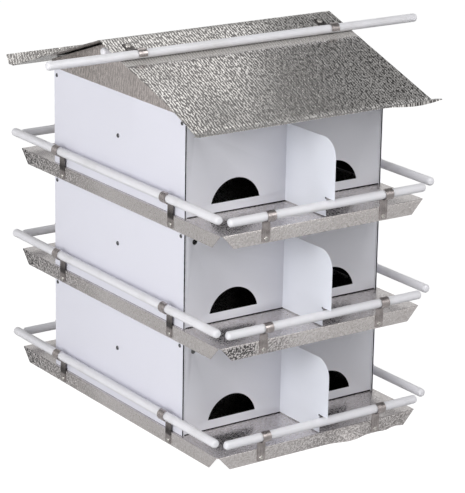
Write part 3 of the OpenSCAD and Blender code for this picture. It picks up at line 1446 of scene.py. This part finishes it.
@dataclass
class Roof(StrapClips):
    """The folded roof, its gable plates, the perch rod on its clips and the ridge rod."""

    pitch: float = math.radians(19)
    run: float = 232.0 * MM
    lip: float = 17.0 * MM
    front_lip: float = math.radians(12)
    back_lip: float = math.radians(58)
    lip_over: float = 5.0 * MM
    ridge_bend: float = 2.5 * MM
    perch_run: float = 56.0 * MM
    perch_clip_x: float = 158.5 * MM
    perch_clip_shift: float = 2.0 * MM
    perch_strap: float = 38.0 * MM
    screw_up: float = 31.0 * MM
    screw_size: float = 1.3
    lip_bend: float = 2.5 * MM
    skin_cuts: int = 23
    # Down the left rake: the place of each bow, its lift and how far it spreads.
    bows: tuple[Spot, ...] = ((-0.155, 4.2 * MM, 0.105), (-0.085, 1.2 * MM, 0.06))
    bow_reach: float = 6.0 * MM
    sag: float = 5.0 * MM
    sag_start: float = 96.0 * MM
    sag_length: float = 104.0 * MM
    sag_power: float = 1.2
    sag_steps: range = range(100, 200, 8)  # in millimetres along the ridge
    finishes: dict[str, bpy.types.Material] = field(default_factory=dict)

    def build_sheet(self) -> None:
        """Folds the roof from one blank: two slopes, a turned-up lip along each eave."""
        low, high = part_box("roof")
        ridge = high.z
        wide = high.x - low.x - 2 * self.lip_over
        fall = self.run * math.tan(self.pitch)
        piece = Bench.plane("folded_roof", (0, 0, ridge), (0, 0, 0), (wide, 2 * self.run, 1))
        with Bench.editing(piece, Part.EDGE):
            bpy.ops.mesh.select_all(action="SELECT")
            bpy.ops.mesh.bisect(plane_co=(0, 0, ridge), plane_no=(0, 1, 0))
            for side, angle in ((-1, self.front_lip), (1, self.back_lip)):
                Bench.pick(piece, Part.EDGE, lambda at, way: side * at.y > self.run - NEAR)
                bpy.ops.transform.translate(value=(0, 0, -fall))
                way_out = Vector((0, side * math.cos(angle), math.sin(angle)))
                Bench.fold_out(
                    tuple(self.lip_bend * way_out),
                    ((wide + 2 * self.lip_over) / wide, 1, 1),
                    (0, side * self.run, ridge - fall),
                )
                Bench.fold_out(tuple((self.lip - self.lip_bend) * way_out))
            bpy.ops.mesh.select_all(action="SELECT")
            bpy.ops.mesh.subdivide(number_cuts=self.skin_cuts)
        self.warp(piece, ridge, wide)
        with Bench.editing(piece, Part.EDGE):
            Bench.pick(piece, Part.EDGE, lambda at, way: close(at.y) and abs(way.x) > MM)
            bpy.ops.mesh.bevel(offset=self.ridge_bend, segments=3, affect="EDGES")
        Bench.thicken(piece, self.sheet, (0, -math.sin(self.pitch), math.cos(self.pitch)))
        slope = 1 / math.cos(self.pitch)

        def laid_flat(point: Vector, normal: Vector) -> tuple[float, float]:
            """Measures a point's way down the sheet from the ridge.

            Args:
                point: A point of the folded roof.
                normal: Its face's normal, which counts for nothing here.

            Returns:
                Its place on the flat blank.
            """
            reach = abs(point.y)
            run = min(reach, self.run) * slope
            if reach > self.run:
                run += math.hypot(reach - self.run, point.z - (ridge - fall))
            return point.x, math.copysign(run, point.y)

        Bench.map_sheet(piece, laid_flat)
        self.finish(piece, Slot.SHEET, self.finishes["roof"], "roof")

    def warp(self, piece: Piece, ridge: float, wide: float) -> None:
        """Bows the left rake a little and lets the front lip's right end sag.

        Args:
            piece: The open roof skin.
            ridge: The ridge's height.
            wide: The length of the slopes along the ridge.
        """
        with Bench.editing(piece, Part.VERT):
            for y, lift, size in self.bows:
                Bench.pick(
                    piece,
                    Part.VERT,
                    lambda at, way: at.x < -wide / 2 + MM and abs(at.y - y) < self.bow_reach,
                )
                bpy.ops.transform.translate(
                    value=(0, 0, lift),
                    use_proportional_edit=True,
                    proportional_edit_falloff="SMOOTH",
                    proportional_size=size,
                )
            tip = self.run + self.lip * math.cos(self.front_lip) - 0.2 * MM
            for x in self.sag_steps:
                start, end = x * MM, (x + self.sag_steps.step) * MM
                count = Bench.pick(
                    piece, Part.VERT, lambda at, way: start <= at.x < end and at.y < -tip
                )
                share = min(1, (start - self.sag_start) / self.sag_length)
                drop = self.sag * math.sin(math.pi * share) ** self.sag_power
                if count:
                    bpy.ops.transform.translate(value=(0, 0, -drop))

    def build_gables(self) -> None:
        """Eases the two gable plates."""
        for word in ("left", "right"):
            node = f"{word}_gable"
            piece = self.eased_copy(node, f"{word}_gable_plate")
            Bench.map_sheet(piece, lambda point, normal: (point.y, point.z))
            self.finish(piece, Slot.SHEET, self.finishes["gable"], node)

    def build_rods(self, rods: Rods) -> None:
        """Turns the perch rod and the ridge rod.

        Args:
            rods: The maker of rods.
        """
        for node in ("perch_rod", "ridge_rod"):
            rod = rods.turned(node, f"{node}_turned", Axis.ALONG_RIDGE)
            self.finish(rod, Slot.ROD, self.finishes["rod_x"], node)

    def build_perch_clips(self) -> None:
        """Bends the perch rod's two clips and screws them to the front slope."""
        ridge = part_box("roof")[1].z
        slope = Matrix.Translation((0, 0, ridge)) @ Matrix.Rotation(self.pitch, 4, "X")
        places, seats = [], []
        for hand in (-1, 1):
            x = hand * self.perch_clip_x - self.perch_clip_shift
            places.append(
                slope
                @ Matrix.Translation((x, -self.perch_run, self.reach))
                @ Matrix.Rotation(math.pi / 2, 4, "X")
                @ Matrix.Rotation(math.pi, 4, "Z")
            )
            seats.append(
                slope
                @ Matrix.Translation((x, self.screw_up - self.perch_run, self.gauge))
                @ Matrix.Rotation(-math.pi / 2, 4, "X")
                @ Matrix.Scale(self.screw_size, 4)
            )
        clips = Bench.repeat(self.strap(self.perch_strap), "perch_bent_clips", places)
        self.finish(clips, Slot.STRAP, self.finishes["perch_strap"], "perch_clips")
        heads = Bench.repeat(self.rivet(), "perch_clip_screws", seats)
        self.finish(heads, Slot.STRAP, self.finishes["rivet"])

    def build(self, rods: Rods) -> None:
        """Builds the roof from its sheet to its fasteners.

        Args:
            rods: The maker of rods.
        """
        self.build_sheet()
        self.build_gables()
        self.build_rods(rods)
        self.build_perch_clips()


# ---------------------------------------------------------------- the studio


@dataclass
class Lamp:
    """One soft square lamp."""

    name: str
    place: Spot
    aim: Spot
    size: float
    watts: float

    def build(self) -> None:
        """Hangs the lamp and points it."""
        light = bpy.data.lights.new(self.name, "AREA")
        light.shape = "SQUARE"
        light.size = self.size
        light.energy = self.watts
        lamp = bpy.data.objects.new(self.name, light)
        bpy.context.scene.collection.objects.link(lamp)
        lamp.location = self.place
        look = Vector(self.aim) - Vector(self.place)
        lamp.rotation_euler = look.to_track_quat("-Z", "Y").to_euler()


@dataclass
class Studio:
    """The pale floor, the soft light and the camera."""

    azimuth: float = math.radians(-34.67)
    elevation: float = math.radians(16.97)
    roll: float = math.radians(0.89)
    distance: float = 3.221
    target: Spot = (0.0, 0.0, 0.2444)
    lens: float = 167.2
    shift: Range = (0.0362, -0.0404)
    sky: float = 0.16
    overhead: float = 0.24
    horizon: Range = (0.25, 0.75)
    floor_colour: Colour = (0.86, 0.86, 0.87)
    floor_lift: float = 0.80
    floor_glow: float = 1.22
    floor_in_metal: float = 0.50
    lamps: tuple[Lamp, ...] = (
        Lamp("key", (-3.0, -0.6, 0.45), (0, 0, 0.28), 1.8, 51),
        Lamp("high_key", (-2.4, -1.2, 2.0), (0, 0, 0.28), 1.8, 31),
        Lamp("fill", (0.6, -1.9, 1.5), (0, 0, 0.28), 1.3, 15),
        Lamp("high_fill", (0.3, -1.3, 2.0), (0, 0, 0.28), 1.2, 8),
        Lamp("roof_glow", (0.28, 0.55, 1.6), (0, 0, 0.4), 0.9, 2.8),
    )

    def build_floor(self) -> None:
        """Lays the plain pale floor, which the camera and metal see nearly white."""
        bpy.ops.object.select_all(action="DESELECT")
        bpy.ops.mesh.primitive_plane_add(size=60, location=(0, 0, 0))
        floor = bpy.context.active_object
        floor.name = floor.data.name = "studio_floor"
        n = Nodes(
            "pale_floor", Base_Color=self.floor_colour, Roughness=0.9, Specular_IOR_Level=0.0
        )
        glow = n.add("ShaderNodeEmission")
        in_metal = self.floor_glow * self.floor_in_metal
        n.feed(glow.inputs["Strength"], n.span(n.ray("Glossy"), 0, 1, self.floor_glow, in_metal))
        blend = n.add("ShaderNodeMixShader")
        lift = n.math("MULTIPLY", n.seen(), self.floor_lift)
        sources = (lift, n.shader.outputs["BSDF"], glow.outputs["Emission"])
        for source, socket in zip(sources, blend.inputs):
            n.join(source, socket)
        n.join(blend.outputs["Shader"], n.output.inputs["Surface"])
        floor.data.materials.append(n.material)

    def build_sky(self) -> None:
        """Makes the surroundings: plain for light, white low down and dimmer overhead in metal."""
        world = bpy.data.worlds.new("studio")
        bpy.context.scene.world = world
        world.use_nodes = True
        n = Graph(world.node_tree)
        rise = n.span(n.axis("Generated", "Z"), *self.horizon, 1, self.overhead, "SMOOTHSTEP")
        choose = n.add("ShaderNodeMix", data_type="FLOAT")
        for number, value in ((0, n.seen()), (2, self.sky), (3, rise)):
            n.feed(choose.inputs[number], value)
        background = n.add("ShaderNodeBackground")
        output = n.add("ShaderNodeOutputWorld")
        n.join(choose.outputs[0], background.inputs["Strength"])
        n.join(background.outputs[0], output.inputs["Surface"])

    def build_camera(self) -> None:
        """Stands the camera, rolled and shifted as the view needs."""
        camera = bpy.data.cameras.new("view")
        camera.lens = self.lens
        camera.sensor_width = 36
        camera.clip_end = 100
        camera.shift_x, camera.shift_y = self.shift
        stand = bpy.data.objects.new("view", camera)
        bpy.context.scene.collection.objects.link(stand)
        turn, tilt = self.azimuth, self.elevation
        ahead = Vector(
            (-math.sin(turn) * math.cos(tilt), math.cos(turn) * math.cos(tilt), -math.sin(tilt))
        )
        right = Vector((math.cos(turn), math.sin(turn), 0))
        up = right.cross(ahead)
        x_axis = right * math.cos(self.roll) + up * math.sin(self.roll)
        y_axis = up * math.cos(self.roll) - right * math.sin(self.roll)
        place = Vector(self.target) - ahead * self.distance
        rows = zip(x_axis, y_axis, -ahead, place)
        stand.matrix_world = Matrix([*(tuple(row) for row in rows), (0, 0, 0, 1)])
        bpy.context.scene.camera = stand

    def build(self) -> None:
        """Sets up the whole studio."""
        self.build_floor()
        self.build_sky()
        for lamp in self.lamps:
            lamp.build()
        self.build_camera()
        bpy.context.scene.view_settings.view_transform = "Standard"
        log.info("studio: %d lamps", len(self.lamps))


def make_finishes() -> dict[str, bpy.types.Material]:
    """Makes every material once.

    Returns:
        The materials by what they cover.
    """
    return {
        "deck": EmbossedSheet(
            "deck_sheet",
            depth=0.25 * MM,
            strength=0.35,
            rough=0.22,
            crest=(0.80, 0.765, 0.76),
            valley_shade=(0.62, 0.585, 0.575),
            period=4.0 * MM,
            grain=3.8 * MM,
            dash_length=3.8 * MM,
            dash_width=2.2 * MM,
            slant=math.radians(30),
            waver=9.0,
            # The deck inside the walls is painted dark as shade.
            room=Patch((-0.163, -0.1645, -1), (0.163, 0.1645, 1)),
            # Dark reflections painted on the far end of the left apron and on the front aprons.
            dark_reflections=(
                Patch((-1, 0.13, -1), (-0.165, 1, 1), (MM / 2, 0.11, MM)),
                Patch((-0.17, -1, 0.15), (-0.108, -0.2535, 0.17), (4 * MM, MM / 2, MM), 0.9),
                Patch((-0.108, -1, 0.15), (-0.05, -0.2535, 0.17), (18 * MM, MM / 2, MM), 0.5),
                Patch((-0.05, -1, -0.1), (0.2, -0.2535, 0.02), (60 * MM, MM / 2, MM), 0.45),
            ),
        ).make(),
        "roof": EmbossedSheet(
            "roof_sheet",
            # Right part: deeper painted shade in the hollows and paler crests.
            crisp=Patch((0.04, -1, -1), (1, 1, 1), (0.09, MM, MM)),
            # Band painted with the perch rod's reflection.
            rod_reflection=Patch((-0.2, -0.073, -1), (0.2, -0.057, 1), (MM, 2 * MM, MM)),
            marks=(
                (Patch((0.1566, -0.1548, 0), (0.1602, -0.1528, 1)), WHITE),
                # The two dark marks are painted shade in the sheet's holes.
                (Patch((0.1597, -0.1860, 0), (0.1627, -0.1824, 1)), even(0.01)),
                (Patch((0.1684, -0.2028, 0), (0.1700, -0.2010, 1)), even(0.05)),
            ),
        ).make(),
        "gable": EmbossedSheet(
            "gable_sheet", crest=(0.80, 0.73, 0.705), valley_shade=(0.47, 0.43, 0.415), strength=0.3
        ).make(),
        # Faces looking into the rooms get the painted dark shade.
        "front_wall": WhiteEnamel("front_wall_enamel", inward=(0, 1, 0)).make(),
        "back_wall": WhiteEnamel("back_wall_enamel", inward=(0, -1, 0)).make(),
        "left_panel": WhiteEnamel("left_panel_enamel", coat=END_COAT, inward=(1, 0, 0)).make(),
        "right_panel": WhiteEnamel("right_panel_enamel", coat=END_COAT, inward=(-1, 0, 0)).make(),
        # Dividers painted lighter than the walls and darker towards the top: painted light and
        # shade.
        "divider": WhiteEnamel("divider_enamel", coat=(0.86, 0.885, 0.96), top_shade=0.17).make(),
        "rod_x": WhiteRod("rod_along").make(),
        "rod_y": WhiteRod("rod_across", along=(700, 8, 700)).make(),
        "strap": StrapMetal(
            "strap_skin",
            bright=STRAP_BRIGHT,
            tarnish=STRAP_DARK,
            # Greys down the strap: painted shade and reflection.
            painted_tones=((0, 1.0), (6, 1.0), (9, 0.70), (15, 0.55), (23, 0.17), (28, 0.20), (31, 0.8)),
            porch_painted_tones=((0, 1.0), (6, 1.0), (9, 0.65), (13, 0.95), (24, 0.75), (31, 1.0)),
        ).make(),
        "perch_strap": StrapMetal(
            "perch_strap_skin",
            bright=STRAP_BRIGHT,
            tarnish=STRAP_DARK,
            # Greys down the perch strap: painted shade and reflection.
            painted_tones=((0, 1.0), (5, 1.0), (7, 0.2), (40, 0.2)),
        ).make(),
        "seam": StrapMetal("seam_shadow", bright=(0.05, 0.05, 0.055), tarnish=even(0.03)).make(),
        "pin": StrapMetal(
            "pin_skin", bright=(0.20, 0.20, 0.21), tarnish=(0.09, 0.09, 0.095)
        ).make(),
        "rivet": StrapMetal(
            "rivet_skin", bright=(0.72, 0.70, 0.67), tarnish=(0.35, 0.33, 0.31), rough=0.30
        ).make(),
    }


def main() -> None:
    """Builds the studio and the birdhouse."""
    logging.basicConfig(level=logging.INFO, format="%(message)s")
    Studio().build()
    finishes = make_finishes()
    rods = Rods()
    for name in STOREYS:
        Storey(name=name, finishes=finishes, dents=DENTS if name == "lower" else ()).build(rods)
    Roof(finishes=finishes).build(rods)


if __name__ == "__main__":
    main()
